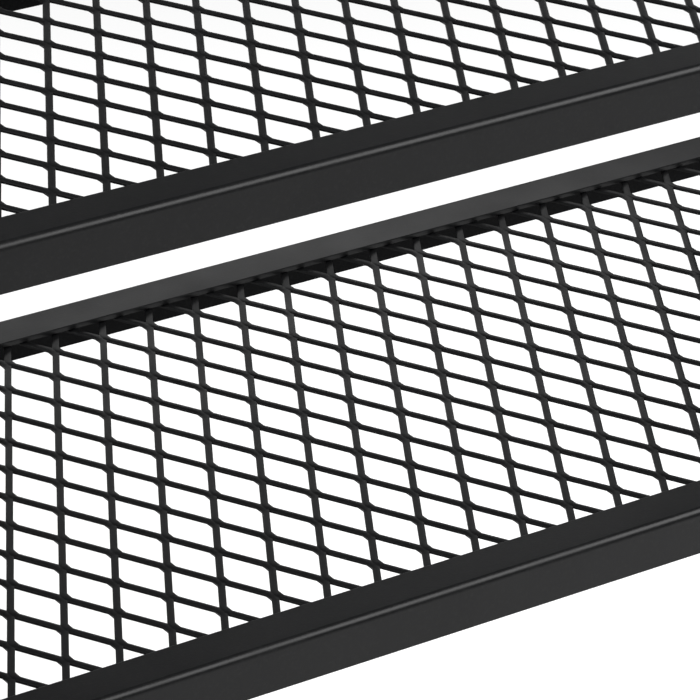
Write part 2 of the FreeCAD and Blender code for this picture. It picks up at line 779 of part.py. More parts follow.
def make_ring(row, side, sign):
    """A hanging ring of bent rod; its top bar turns in a saddle on the end bar."""
    body = doc.addObject("PartDesign::Body", f"{row}_{side}_ring_body")
    path = new_sketch(body, f"{row}_{side}_ring_path", "YZ_Plane")
    half = size["ring_width"] / 2
    bend = size["ring_bend"]
    drop = size["ring_drop"]
    outline = [(-half, -drop, bend), (half, -drop, bend), (half, 0, bend), (-half, 0, bend)]
    square_outline(path, outline)
    section = new_sketch(body, f"{row}_{side}_ring_section", "XZ_Plane")
    circle = section.addGeometry(Part.Circle(Vector(0, 0, 0), Z_AXIS, size["ring_rod"].number))
    section.addConstraint(Sketcher.Constraint("Coincident", circle, 3, -1, 1))
    tie_row = section.addConstraint(Sketcher.Constraint("Radius", circle, size["ring_rod"].number))
    section.setExpression(f"Constraints[{tie_row}]", size["ring_rod"].text)
    doc.recompute()
    pipe = body.newObject("PartDesign::AdditivePipe", f"{row}_{side}_ring_pipe")
    pipe.Profile = section
    pipe.Spine = path
    out_x = (half_length + size["ring_standoff"]) * sign
    put(body, (out_x, ring_y(row), lower_top - leg / 2))
    keep(f"tie_ring_{row}_{side}", body)


def make_saddle(row, side, sign):
    """A welded saddle that holds a ring's top bar."""
    outer_radius = size["ring_rod"] + size["ring_gap"] + size["saddle_wall"]
    centre = ((half_length + size["ring_standoff"]) * sign,
              ring_y(row) - size["saddle_width"] / 2, lower_top - leg / 2)
    barrel = rod(f"{row}_{side}_saddle_barrel", centre, Y_AXIS, outer_radius, size["saddle_width"])
    low_x = half_length if sign > 0 else -half_length - size["ring_standoff"]
    foot = box(f"{row}_{side}_saddle_foot", (low_x, centre[1], centre[2] - outer_radius),
               (size["ring_standoff"], size["saddle_width"], outer_radius * 2))
    blank = fuse(f"{row}_{side}_saddle_blank", [barrel, foot])
    bore = rod(f"{row}_{side}_saddle_bore", centre, Y_AXIS, size["ring_rod"] + size["ring_gap"],
               size["saddle_width"])
    inside_x = half_length - leg if sign > 0 else -half_length
    behind = box(f"{row}_{side}_saddle_trim", (inside_x, centre[1], centre[2] - outer_radius * 2),
                 (leg, size["saddle_width"], outer_radius * 4))
    keep(f"ring_saddle_{row}_{side}", cut(f"{row}_{side}_saddle", blank, [bore, behind]))


# ---------------------------------------------------------------- build

make_shank()
make_plug("shank_plug", -size["pivot_reach"] - size["shank_tail"], -1)
make_pivot_bolt()
make_clamp_bolt()
make_clamp_knob()
for plate_side, plate_sign in (LEFT, RIGHT):
    make_yoke_plate(plate_side, plate_sign)
make_beam()
make_plug("beam_plug", lower_rear_y + size["beam_inset"], -1)
for deck_name in DECKS:
    make_frame(deck_name)
    make_sheet(deck_name)
    make_support(deck_name)
make_posts()
make_centre_posts()
make_post_bolts()
make_strap_bolts()
for ring_row in ("rear", "front"):
    for ring_side, ring_sign in (LEFT, RIGHT):
        make_ring(ring_row, ring_side, ring_sign)
        make_saddle(ring_row, ring_side, ring_sign)

doc.recompute()

# ---------------------------------------------------------------- check and write

for thing in doc.Objects:
    if "Invalid" in thing.State or "Error" in thing.State:
        raise ValueError(f"{thing.Label} failed: {thing.State}")
for piece in pieces:
    if piece.Shape.isNull() or not piece.Shape.isValid():
        raise ValueError(f"{piece.Label} has no valid shape")

os.makedirs("parts", exist_ok=True)
for piece in pieces:
    piece.Shape.exportStep(f"parts/{piece.Label}.step")
    solids = len(piece.Shape.Solids)
    print(f"{piece.Label}: {solids} solid(s), {piece.Shape.Volume / 1000:.1f} cm3")
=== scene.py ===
# %% [markdown]
# # A two-tier hitch cargo carrier
# The carrier is welded from angle iron: two long decks of expanded steel mesh, one above the
# other, on posts, with a square shank that slides into a vehicle's hitch receiver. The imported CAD
# model is the fixed frame. Every place below is read from it, and every piece rides on one of its
# bodies, so nothing is fitted by eye afterwards.

import json
import math

import bmesh
import bpy
from mathutils import Matrix, Vector


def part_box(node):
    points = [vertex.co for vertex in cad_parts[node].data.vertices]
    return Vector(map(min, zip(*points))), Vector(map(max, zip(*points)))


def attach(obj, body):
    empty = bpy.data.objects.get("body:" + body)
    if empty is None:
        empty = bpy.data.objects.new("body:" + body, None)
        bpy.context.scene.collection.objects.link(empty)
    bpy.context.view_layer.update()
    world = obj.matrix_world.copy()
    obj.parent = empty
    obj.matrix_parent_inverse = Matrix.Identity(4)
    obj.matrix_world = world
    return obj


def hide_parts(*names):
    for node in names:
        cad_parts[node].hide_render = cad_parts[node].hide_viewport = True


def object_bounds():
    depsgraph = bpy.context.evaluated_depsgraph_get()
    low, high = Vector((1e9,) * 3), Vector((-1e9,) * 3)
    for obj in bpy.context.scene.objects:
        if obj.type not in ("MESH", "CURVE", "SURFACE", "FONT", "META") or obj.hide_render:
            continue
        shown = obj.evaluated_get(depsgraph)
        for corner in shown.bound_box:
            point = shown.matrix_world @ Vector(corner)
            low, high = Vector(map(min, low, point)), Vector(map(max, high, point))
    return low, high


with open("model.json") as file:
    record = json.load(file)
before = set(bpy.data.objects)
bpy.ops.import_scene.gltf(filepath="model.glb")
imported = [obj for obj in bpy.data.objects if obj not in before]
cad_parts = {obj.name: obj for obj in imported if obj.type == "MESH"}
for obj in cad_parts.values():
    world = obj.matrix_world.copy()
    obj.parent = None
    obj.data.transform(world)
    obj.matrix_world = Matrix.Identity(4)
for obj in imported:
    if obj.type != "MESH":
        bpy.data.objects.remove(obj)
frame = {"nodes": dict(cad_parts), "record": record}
cad_low, cad_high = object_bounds()
print("CAD box:", [round(v, 4) for v in cad_low], [round(v, 4) for v in cad_high])

MM = 0.001
X, Y, Z = Vector((1, 0, 0)), Vector((0, 1, 0)), Vector((0, 0, 1))
SIDES = ("left", "right")
DECKS = ("lower", "upper")

# %% [markdown]
# ## Small helpers
# A mesh piece is a list of points and faces. Long flat bars want flat faces and round corners, so
# shading is smooth with the sharp edges marked by angle. Every piece keeps its object at the
# origin and its place in its mesh, which is what the frame expects.

# %% Mesh and section helpers
SHARP = math.radians(32)
SAME_POINT = 1e-6
ON_PLANE = 1e-7


def new_piece(name, points, faces, material):
    """A mesh object at the origin, smooth except across its sharp edges."""
    mesh = bpy.data.meshes.new(name)
    mesh.from_pydata([tuple(point) for point in points], [], faces)
    mesh.materials.append(material)
    mesh.shade_smooth()
    mesh.set_sharp_from_angle(angle=SHARP)
    piece = bpy.data.objects.new(name, mesh)
    bpy.context.scene.collection.objects.link(piece)
    return piece


def face_outwards(piece):
    """Turn all faces of a closed mesh outwards."""
    shell = bmesh.new()
    shell.from_mesh(piece.data)
    bmesh.ops.recalc_face_normals(shell, faces=shell.faces)
    shell.to_mesh(piece.data)
    shell.free()
    piece.data.set_sharp_from_angle(angle=SHARP)


def fit_in(piece, body, slot, *nodes):
    """Say which body carries a finished piece and hide the CAD nodes it stands for. The slot
    argument (its finish) is not used.
    """
    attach(piece, body)
    if nodes:
        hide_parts(*nodes)
    return piece


def rounded_outline(corners):
    """A closed outline from (x, y, radius, steps) corners: a round corner becomes an arc."""
    outline = []
    for index, (x, y, radius, steps) in enumerate(corners):
        here = Vector((x, y))
        before = (Vector(corners[index - 1][:2]) - here).normalized()
        after = (Vector(corners[(index + 1) % len(corners)][:2]) - here).normalized()
        centre = here + (before + after) * radius
        start, end = here + before * radius - centre, here + after * radius - centre
        for step in range(steps + 1):
            turn = math.pi / 2 * step / steps
            outline.append(centre + start * math.cos(turn) + end * math.sin(turn))
    return outline


# %% [markdown]
# ## Finishes
# The steel is powder coated: paint powder melted into a satin black skin. Up close it has a faint
# orange-peel ripple about a millimetre wide, cloudy differences in gloss, and a little pale dust.
# All of it is procedural and reads Object coordinates, so it stays put on each piece. Values that
# are the same everywhere are set on the shader's own sockets. The frame's coat has almost no shine
# on the faces marked "inside", in the hollow of the angle under the mesh: that is painted shade,
# which darkens those faces where shade falls.

# %% Powder coat
PAINTED_SHADE_SHINE = 0.02
CLOUD_RANGE = (0.3, 0.7)


def shader_nodes(name):
    """A new material with its Principled shader."""
    material = bpy.data.materials.new(name)
    material.use_nodes = True
    return material, material.node_tree, material.node_tree.nodes["Principled BSDF"]


def noise(tree, scale, detail=2.0, roughness=0.5):
    """Noise on Object coordinates; scale is in ripples per metre."""
    place = tree.nodes.get("Place") or tree.nodes.new("ShaderNodeTexCoord")
    place.name = "Place"
    texture = tree.nodes.new("ShaderNodeTexNoise")
    texture.inputs["Scale"].default_value = scale
    texture.inputs["Detail"].default_value = detail
    texture.inputs["Roughness"].default_value = roughness
    tree.links.new(place.outputs["Object"], texture.inputs["Vector"])
    return texture.outputs["Fac"]


def ramp(tree, source, low, high, low_value, high_value):
    """Remap a 0 to 1 pattern: below low it gives low_value, above high it gives high_value."""
    remap = tree.nodes.new("ShaderNodeMapRange")
    remap.inputs["From Min"].default_value = low
    remap.inputs["From Max"].default_value = high
    remap.inputs["To Min"].default_value = low_value
    remap.inputs["To Max"].default_value = high_value
    tree.links.new(source, remap.inputs["Value"])
    return remap.outputs["Result"]


def mix_colours(tree, share, first, second):
    """Mix two fixed colours by a pattern."""
    mixer = tree.nodes.new("ShaderNodeMix")
    mixer.data_type = "RGBA"
    mixer.inputs["A"].default_value = (*first, 1)
    mixer.inputs["B"].default_value = (*second, 1)
    tree.links.new(share, mixer.inputs["Factor"])
    return mixer.outputs["Result"]


def bump(tree, shader, height, strength, distance):
    """Turn a pattern into small relief."""
    relief = tree.nodes.new("ShaderNodeBump")
    relief.inputs["Strength"].default_value = strength
    relief.inputs["Distance"].default_value = distance
    tree.links.new(height, relief.inputs["Height"])
    tree.links.new(relief.outputs["Normal"], shader.inputs["Normal"])


def powder_coat(name, dark, dusty, gloss, shine, painted_shade_inside=False):
    """Satin black powder coat with orange peel, cloudy gloss and fine dust."""
    material, tree, shader = shader_nodes(name)
    dust = ramp(tree, noise(tree, 420, 4, 0.7), 0.52, 0.78, 0.0, 1.0)
    tree.links.new(mix_colours(tree, dust, dark, dusty), shader.inputs["Base Color"])
    clouds = ramp(tree, noise(tree, 22, 3), *CLOUD_RANGE, *gloss)
    tree.links.new(clouds, shader.inputs["Roughness"])
    bump(tree, shader, noise(tree, 900, 1), 0.22, 0.12 * MM)
    # Painted shade: faces marked "inside", in the hollow of the angle, get almost no shine, so they
    # read dark as if shade fell on them.
    if painted_shade_inside:
        inside = tree.nodes.new("ShaderNodeAttribute")
        inside.attribute_name = "inside"
        shine_with_painted_shade = ramp(tree, inside.outputs["Fac"], 0.0, 1.0, shine, PAINTED_SHADE_SHINE)
        tree.links.new(shine_with_painted_shade, shader.inputs["Specular IOR Level"])
    else:
        shader.inputs["Specular IOR Level"].default_value = shine
    return material


frame_black = powder_coat("frame_black", dark=(0.004, 0.0041, 0.0044),
                          dusty=(0.0085, 0.0087, 0.009), gloss=(0.3, 0.4), shine=0.14,
                          painted_shade_inside=True)
# The mesh's coat is the frame's powder coat set a little darker and less shiny: a shaded copy,
# which paints shade on the strands.
mesh_black = powder_coat("mesh_black", dark=(0.0036, 0.0037, 0.004), dusty=(0.008, 0.0082, 0.0086),
                         gloss=(0.32, 0.44), shine=0.1)
tube_black = powder_coat("tube_black", dark=(0.0045, 0.0046, 0.005), dusty=(0.01, 0.0102, 0.0106),
                         gloss=(0.3, 0.42), shine=0.15)

# %% [markdown]
# The hardware is zinc plated, which is a bright grey metal with soft cloudy crystals. The plugs
# and the knob are moulded plastic with a fine spark-eroded grain.

# %% Zinc and plastic


def zinc_plate(name):
    material, tree, shader = shader_nodes(name)
    clouds = noise(tree, 260, 4, 0.6)
    tone = mix_colours(tree, clouds, (0.42, 0.43, 0.45), (0.66, 0.67, 0.68))
    tree.links.new(tone, shader.inputs["Base Color"])
    tree.links.new(ramp(tree, noise(tree, 90, 3), *CLOUD_RANGE, 0.24, 0.44),
                   shader.inputs["Roughness"])
    bump(tree, shader, noise(tree, 1800, 2), 0.15, 0.05 * MM)
    shader.inputs["Metallic"].default_value = 1.0
    return material


def moulded_plastic(name, dark, pale, rough):
    material, tree, shader = shader_nodes(name)
    tree.links.new(mix_colours(tree, noise(tree, 60, 3), dark, pale), shader.inputs["Base Color"])
    tree.links.new(ramp(tree, noise(tree, 140, 2), *CLOUD_RANGE, rough, rough + 0.12),
                   shader.inputs["Roughness"])
    bump(tree, shader, noise(tree, 2600, 2, 0.7), 0.35, 0.06 * MM)
    return material


zinc = zinc_plate("zinc")
plug_plastic = moulded_plastic("plug_plastic", (0.022, 0.022, 0.024), (0.032, 0.032, 0.034), 0.5)
knob_plastic = moulded_plastic("knob_plastic", (0.026, 0.026, 0.028), (0.038, 0.038, 0.04), 0.42)
FINISHES = {"frame_black": frame_black, "mesh_black": mesh_black, "tube_black": tube_black,
            "zinc": zinc, "plug_plastic": plug_plastic, "knob_plastic": knob_plastic}
print("finishes:", [finish.name for finish in FINISHES.values()])

# %% [markdown]
# ## Camera
# The view is close and almost without perspective, as through a long lens. The camera stands
# behind the carrier and to its left, 27 degrees above the decks. It comes early, so that each
# piece can be looked at as it is made. It is aimed at the top of the lower deck's right half, so
# that the shank and the centre posts stay out of view.

# %% Camera
lower_rear_low, lower_rear_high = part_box("lower_rear_rail")

AZIMUTH, ELEVATION, ROLL = (math.radians(angle) for angle in (35.64, 26.87, 2.26))
AIM_RIGHT = 386.4 * MM
AIM_FROM_REAR_EDGE = 235.0 * MM
AIM_ABOVE_DECK = 0.2 * MM
AIM = Vector((AIM_RIGHT, lower_rear_low.y + AIM_FROM_REAR_EDGE, lower_rear_high.z + AIM_ABOVE_DECK))
DISTANCE = 2.4454
LENS = 236.95
SENSOR = 36
SIGHT = 50

back = Vector((-math.sin(AZIMUTH) * math.cos(ELEVATION), -math.cos(AZIMUTH) * math.cos(ELEVATION),
               math.sin(ELEVATION)))
level_right = Z.cross(back).normalized()
level_up = back.cross(level_right)
right = level_right * math.cos(ROLL) + level_up * math.sin(ROLL)
up = level_up * math.cos(ROLL) - level_right * math.sin(ROLL)
lens_data = bpy.data.cameras.new("camera")
lens_data.lens = LENS
lens_data.sensor_width = SENSOR
lens_data.clip_end = SIGHT
camera = bpy.data.objects.new("camera", lens_data)
turn = Matrix((right, up, back)).transposed().to_4x4()
camera.matrix_world = Matrix.Translation(AIM + back * DISTANCE) @ turn
bpy.context.scene.collection.objects.link(camera)
bpy.context.scene.camera = camera
print("camera at", [round(v, 3) for v in camera.matrix_world.translation])

# %% [markdown]
# ## Angle-iron frames
# Each deck's edge is four bars of 25 mm angle iron, mitred at the corners. The bar has one flat
# flange on top, one leg down the outside and a rounded corner between them, and that corner
# carries the bright line that makes it read as folded steel. A bevelled cube would round every
# edge alike, so the section is drawn point by point and swept from mitre to mitre.

# %% Angle bars
LEG = lower_rear_high.z - lower_rear_low.z
WALL = 3.0 * MM
OUTER_ROUND = 3.6 * MM
ROOT_ROUND = 0.8 * MM
EDGE_ROUND = 0.45 * MM
SEAM = 0.06 * MM
ROUND_FACE = 1.0 * MM
INSIDE_DEPTH = 0.9 * WALL
EDGE = (EDGE_ROUND, 2)
ROOT = (ROOT_ROUND, 3)
OUTER_CORNER = (OUTER_ROUND, 10)


def angle_section():
    """(inwards, up) points of an angle iron, with its outer corner at zero."""
    return rounded_outline([
        (0, -LEG, *EDGE),
        (WALL, -LEG, *EDGE),
        (WALL, -WALL, *ROOT),
        (LEG, -WALL, *EDGE),
        (LEG, 0, *EDGE),
        (0, 0, *OUTER_CORNER),
    ])


def sweep_bar(name, section, place, along, inwards, upwards, length, material):
    """Sweep a section along a bar; its mitred ends are cut back as far as they lie inwards.

    The thin faces of a rounding are smooth and the wide ones flat. Wide faces in the hollow of
    the angle are marked "inside".
    """
    points = []
    for side in (-1, 1):
        for depth, height in section:
            reach = length / 2 - SEAM - depth
            points.append(place + along * (reach * side) + inwards * depth + upwards * height)
    count = len(section)
    faces = [tuple(range(count)), tuple(range(2 * count - 1, count - 1, -1))]
    for index in range(count):
        after = (index + 1) % count
        faces.append((index, index + count, after + count, after))
    piece = new_piece(name, points, faces, material)
    face_outwards(piece)
    # Faces deep in the hollow get the "inside" mark, which the frame's coat turns into painted
    # shade.
    mark = piece.data.attributes.new("inside", "FLOAT", "FACE")
    for face in piece.data.polygons:
        offset = face.center - place
        deep = INSIDE_DEPTH < offset.dot(inwards) and offset.dot(upwards) < -INSIDE_DEPTH
        mark.data[face.index].value = float(deep and len(face.vertices) == 4)
        face.use_smooth = face.area < length * ROUND_FACE
    return piece


def frame_bar(deck, row):
    """One bar of a deck's frame, read from the box of its CAD node."""
    node = f"{deck}_{row}_rail"
    low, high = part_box(node)
    middle = (low + high) / 2
    top = high.z
    if row in ("rear", "front"):
        inwards = Y if row == "rear" else -Y
        outer_y = low.y if row == "rear" else high.y
        place, along, length = Vector((middle.x, outer_y, top)), X, high.x - low.x
    else:
        inwards = X if row == "left_end" else -X
        outer_x = low.x if row == "left_end" else high.x
        place, along, length = Vector((outer_x, middle.y, top)), Y, high.y - low.y
    bar = sweep_bar(f"bar_{node}", angle_section(), place, along, inwards, Z, length, frame_black)
    return fit_in(bar, "decks", "frame_black", node)


for deck in DECKS:
    bars = [frame_bar(deck, row) for row in ("rear", "front", "left_end", "right_end")]
    print(deck, "frame bars:", [len(bar.data.polygons) for bar in bars], "faces")

# %% [markdown]
# ## Expanded metal
# Expanded metal starts as a plain sheet. A press slits it in staggered rows and pulls it wide, so
# every slit opens into a diamond and the strands between them twist out of the sheet's plane.
# The rule is simple and repeats hundreds of times, so Geometry Nodes build it: one strand is bent
# from a grid, a mirrored copy makes the other diagonal, and both are placed on a staggered
# lattice. Each strand leaves the high side of one bond and arrives at the low side of the next.

# %% A small node-tree builder


class NodeMaker:
    """Adds geometry nodes and links their inputs, so that a tree reads from top to bottom."""

    def __init__(self, name, sizes):
        self.tree = bpy.data.node_groups.new(name, "GeometryNodeTree")
        face = self.tree.interface
        face.new_socket("Geometry", in_out="OUTPUT", socket_type="NodeSocketGeometry")
        face.new_socket("Geometry", in_out="INPUT", socket_type="NodeSocketGeometry")
        self.keys = {}
        for label, kind in sizes.items():
            item = face.new_socket(label, in_out="INPUT", socket_type=f"NodeSocket{kind}")
            self.keys[label] = item.identifier
        self.inlet = self.tree.nodes.new("NodeGroupInput")
        self.outlet = self.tree.nodes.new("NodeGroupOutput")

    def add(self, kind, inputs=None, output=0, **settings):
        node = self.tree.nodes.new(kind)
        for key, value in settings.items():
            setattr(node, key, value)
        for key, value in (inputs or {}).items():
            if isinstance(value, bpy.types.NodeSocket):
                self.tree.links.new(value, node.inputs[key])
            else:
                node.inputs[key].default_value = value
        return node.outputs[output]

    def size(self, label):
        return self.inlet.outputs[label]

    def math(self, operation, first, second=0.0):
        return self.add("ShaderNodeMath", {0: first, 1: second}, operation=operation)

    def end(self, geometry, material):
        """Every tree ends in real geometry with its material set."""
        solid = self.add("GeometryNodeRealizeInstances", {"Geometry": geometry})
        coated = self.add("GeometryNodeSetMaterial", {"Geometry": solid, "Material": material})
        self.tree.links.new(coated, self.outlet.inputs["Geometry"])


def grow(name, maker, values, material, points=()):
    """Run a tree on a mesh of loose points and keep the result as a plain mesh object."""
    start = bpy.data.meshes.new(f"{name}_seed")
    start.from_pydata([tuple(point) for point in points], [], [])
    seed = bpy.data.objects.new(f"{name}_seed", start)
    bpy.context.scene.collection.objects.link(seed)
    modifier = seed.modifiers.new("grow", "NODES")
    modifier.node_group = maker.tree
    for label, value in values.items():
        modifier[maker.keys[label]] = value
    bpy.context.view_layer.update()
    evaluated = seed.evaluated_get(bpy.context.evaluated_depsgraph_get())
    mesh = bpy.data.meshes.new_from_object(evaluated)
    bpy.data.objects.remove(seed)
    if not mesh.materials:
        mesh.materials.append(material)
    piece = bpy.data.objects.new(name, mesh)
    bpy.context.scene.collection.objects.link(piece)
    return piece


# %% The expanded metal tree
STATIONS = 8
RING = 8
CROWDING = 0.06
SOFTENING = 0.42
SAME_BOND = 2e-5


def expanded_metal_tree():
    maker = NodeMaker("expanded_metal", {
        "Columns": "Int", "Rows": "Int", "Short Way": "Float", "Long Way": "Float",
        "Strand": "Float", "Thickness": "Float", "Bond": "Float", "Bond Offset": "Float",
        "Tilt": "Float", "Centre": "Vector", "Material": "Material",
    })
    half_short = maker.math("MULTIPLY", maker.size("Short Way"), 0.5)
    half_long = maker.math("MULTIPLY", maker.size("Long Way"), 0.5)
    half_strand = maker.math("MULTIPLY", maker.size("Strand"), 0.5)
    half_thick = maker.math("MULTIPLY", maker.size("Thickness"), 0.5)

    def strand(mirror):
        """A tube of softened oblong section that runs from one bond to the next.

        Its stations crowd towards the two bonds, where the strand bends.
        """
        grid = maker.add("GeometryNodeMeshGrid", {"Size X": 1.0, "Size Y": 1.0,
                                                  "Vertices X": RING + 1, "Vertices Y": STATIONS})
        place = maker.add("ShaderNodeSeparateXYZ", {0: maker.add("GeometryNodeInputPosition")})
        around = maker.math("MULTIPLY", maker.math("ADD", place, 0.5 / RING), 2 * math.pi)
        even = maker.math("ADD", place.node.outputs["Y"], 0.5)
        swing = maker.math("SINE", maker.math("MULTIPLY", even, 2 * math.pi))
        along = maker.math("SUBTRACT", even, maker.math("MULTIPLY", swing, CROWDING))

        def softened(operation, half):
            """Cosine or sine pushed outwards, which turns the round section into an oblong."""
            wave = maker.math(operation, around)
            size = maker.math("POWER", maker.math("ABSOLUTE", wave), SOFTENING)
            share = maker.math("MULTIPLY", maker.math("SIGN", wave), size)
            return maker.math("MULTIPLY", share, half)

        across = softened("COSINE", half_strand)
        height = softened("SINE", half_thick)
        bond_share = maker.math("DIVIDE", maker.size("Bond"), maker.size("Long Way"))
        travel = maker.add("ShaderNodeMapRange", {
            "Value": along, "From Min": bond_share,
            "From Max": maker.math("SUBTRACT", 1.0, bond_share), "To Min": 0.0, "To Max": 1.0})
        start = maker.size("Bond Offset")
        span = maker.math("SUBTRACT", half_short, maker.math("MULTIPLY", start, 2.0))
        middle = maker.math("ADD", start, maker.math("MULTIPLY", span, travel))
        fall = maker.math("SUBTRACT", 1.0, maker.math("MULTIPLY", travel, 2.0))
        lift = maker.math("MULTIPLY", maker.math("MULTIPLY", half_strand, maker.size("Tilt")), fall)
        slope = maker.math("MULTIPLY", across, maker.size("Tilt"))
        point = maker.add("ShaderNodeCombineXYZ", {
            "X": maker.math("ADD", middle, across),
            "Y": maker.math("MULTIPLY", maker.math("MULTIPLY", along, half_long), mirror),
            "Z": maker.math("ADD", maker.math("ADD", lift, slope), height)})
        bent = maker.add("GeometryNodeSetPosition", {"Geometry": grid, "Position": point})
        return maker.add("GeometryNodeMergeByDistance", {"Geometry": bent, "Distance": SAME_POINT})

    def lattice(shift):
        """One of the two lattices of bonds; the second is half a pitch off both ways."""
        width = maker.math("MULTIPLY", maker.math("SUBTRACT", maker.size("Columns"), 1.0),
                           maker.size("Short Way"))
        depth = maker.math("MULTIPLY", maker.math("SUBTRACT", maker.size("Rows"), 1.0),
                           maker.size("Long Way"))
        points = maker.add("GeometryNodeMeshGrid", {
            "Size X": width, "Size Y": depth,
            "Vertices X": maker.size("Columns"), "Vertices Y": maker.size("Rows")})
        offset = maker.add("ShaderNodeCombineXYZ", {
            "X": maker.math("MULTIPLY", half_short, shift),
            "Y": maker.math("MULTIPLY", half_long, shift)})
        moved = maker.add("ShaderNodeVectorMath", {0: offset, 1: maker.size("Centre")},
                          operation="ADD")
        return maker.add("GeometryNodeTransform", {"Geometry": points, "Translation": moved})

    both = maker.tree.nodes.new("GeometryNodeJoinGeometry")
    for shift in (0.0, 1.0):
        maker.tree.links.new(lattice(shift), both.inputs[0])
    strands = maker.tree.nodes.new("GeometryNodeJoinGeometry")
    for mirror in (1.0, -1.0):
        placed = maker.add("GeometryNodeInstanceOnPoints",
                           {"Points": both.outputs[0], "Instance": strand(mirror)})
        maker.tree.links.new(placed, strands.inputs[0])
    solid = maker.add("GeometryNodeRealizeInstances", {"Geometry": strands.outputs[0]})
    joined = maker.add("GeometryNodeMergeByDistance", {"Geometry": solid, "Distance": SAME_BOND})
    maker.end(joined, maker.size("Material"))
    return maker


expanded_metal = expanded_metal_tree()
print("expanded metal tree:", len(expanded_metal.tree.nodes), "nodes")

# %% [markdown]
# The lattice is grown a little too large and then sheared to size, as a real sheet is. Each cut
# leaves open strand ends, which are closed again. The lower sheet also has a square cut out of it
# where the centre rear post stands through. The first opening's place is what lines the pattern
# up with the frame's edge.

# %% Grow and shear the two sheets
SHORT_WAY = 29.5 * MM
LONG_WAY = 50.0 * MM
STRAND = 4.5 * MM
BOND_OFFSET = 1.25 * MM
THICKNESS = 1.6 * MM
BOND = 4.6 * MM
TILT = 0.06
SPARE = 4
POST_ROOM = 1.0 * MM
STRAND_SHARP = math.radians(38)
FIRST_OPENING = {
    "lower": (-9.85 * MM, LEG + 119.5 * MM),
    "upper": (-2.5 * MM, LEG + 68.2 * MM),
}


def shear(shell, point, outwards):
    """Cut everything beyond a plane away; close_ends fills the open ends afterwards."""
    everything = shell.verts[:] + shell.edges[:] + shell.faces[:]
    bmesh.ops.bisect_plane(shell, geom=everything, dist=ON_PLANE, plane_co=point,
                           plane_no=outwards, clear_outer=True)


def close_ends(shell):
    """Fill the open ends that the cuts leave."""
    open_edges = [edge for edge in shell.edges if edge.is_boundary]
    bmesh.ops.holes_fill(shell, edges=open_edges, sides=0)


def punch(shell, low, high):
    """Cut a square out of a sheet, from the (x, y) of low to that of high."""
    margin = SHORT_WAY
    for point, normal in ((low, X), (high, X), (low, Y), (high, Y)):
        near = [face for face in shell.faces
                if low.x - margin < face.calc_center_median().x < high.x + margin
                and low.y - margin < face.calc_center_median().y < high.y + margin]
        edges = {edge for face in near for edge in face.edges}
        verts = {vert for face in near for vert in face.verts}
        bmesh.ops.bisect_plane(shell, geom=[*verts, *edges, *near], dist=ON_PLANE,
                               plane_co=point, plane_no=normal)
    inside = [face for face in shell.faces
              if low.x < face.calc_center_median().x < high.x
              and low.y < face.calc_center_median().y < high.y]
    bmesh.ops.delete(shell, geom=inside, context="FACES")


def make_sheet(deck):
    """Grow one deck's sheet around its middle and trim it to the box of its CAD node."""
    low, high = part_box(f"{deck}_mesh")
    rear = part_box(f"{deck}_rear_rail")[0].y
    start_x, start_y = FIRST_OPENING[deck]
    columns = math.ceil((high.x - low.x) / SHORT_WAY) + SPARE
    rows = math.ceil((high.y - low.y) / LONG_WAY) + SPARE
    middle_column = round((low.x + high.x) / 2 / SHORT_WAY)
    middle_row = round(((low.y + high.y) / 2 - rear - start_y) / LONG_WAY)
    centre = Vector((
        start_x + (middle_column + (0.5 if columns % 2 else 0.0)) * SHORT_WAY,
        rear + start_y + (middle_row + (0.0 if rows % 2 else 0.5)) * LONG_WAY,
        (low.z + high.z) / 2,
    ))
    sheet = grow(f"expanded_{deck}", expanded_metal, {
        "Columns": columns, "Rows": rows, "Short Way": SHORT_WAY, "Long Way": LONG_WAY,
        "Strand": STRAND, "Thickness": THICKNESS, "Bond": BOND, "Bond Offset": BOND_OFFSET,
        "Tilt": TILT, "Centre": centre, "Material": mesh_black}, mesh_black)
    shell = bmesh.new()
    shell.from_mesh(sheet.data)
    for point, normal in ((low, -X), (high, X), (low, -Y), (high, Y)):
        shear(shell, point, normal)
    if deck == "lower":
        post_low, post_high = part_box("centre_rear_post")
        room = (X + Y) * POST_ROOM
        punch(shell, post_low - room, post_high + room)
    close_ends(shell)
    bmesh.ops.recalc_face_normals(shell, faces=shell.faces)
    rise = high.z - max(vert.co.z for vert in shell.verts)
    bmesh.ops.translate(shell, vec=Z * rise, verts=shell.verts)
    shell.to_mesh(sheet.data)
    shell.free()
    sheet.data.shade_smooth()
    sheet.data.set_sharp_from_angle(angle=STRAND_SHARP)
    triangles = sum(len(face.vertices) - 2 for face in sheet.data.polygons)
    print(sheet.name, "triangles", triangles)
    return fit_in(sheet, "decks", "mesh_black", f"{deck}_mesh")


for deck in DECKS:
    make_sheet(deck)

# %% [markdown]
# ## Hexagon hardware
# Bolt heads and nuts are forged and then turned, which cuts the sharp corners off the outer face.
# That small slope is what catches the light. One tree makes them all: a tapered hexagon, the
# hexagon itself, and for a bolt the round shank with its tapered tip. The places and sizes are
# measured on the loose solids of each CAD node.

# %% Measure the loose solids of a CAD node


def loose_solids(node):
    """The points of each separate solid in a CAD node."""
    source = frame["nodes"][node]
    shell = bmesh.new()
    shell.from_mesh(source.data)
    bmesh.ops.remove_doubles(shell, verts=shell.verts, dist=SAME_POINT)
    left, solids = set(shell.verts), []
    while left:
        found, to_visit = [], [left.pop()]
        while to_visit:
            vert = to_visit.pop()
            found.append(source.matrix_world @ vert.co)
            for edge in vert.link_edges:
                other = edge.other_vert(vert)
                if other in left:
                    left.remove(other)
                    to_visit.append(other)
        solids.append(found)
    shell.free()
    return solids


# %% The hexagon tree
HEXAGON = 6
ROUND = 28
TAPER = 0.16
TAPER_RADIUS = 0.88
TIP = 1.0 * MM
TIP_NARROWING = 0.6 * TIP


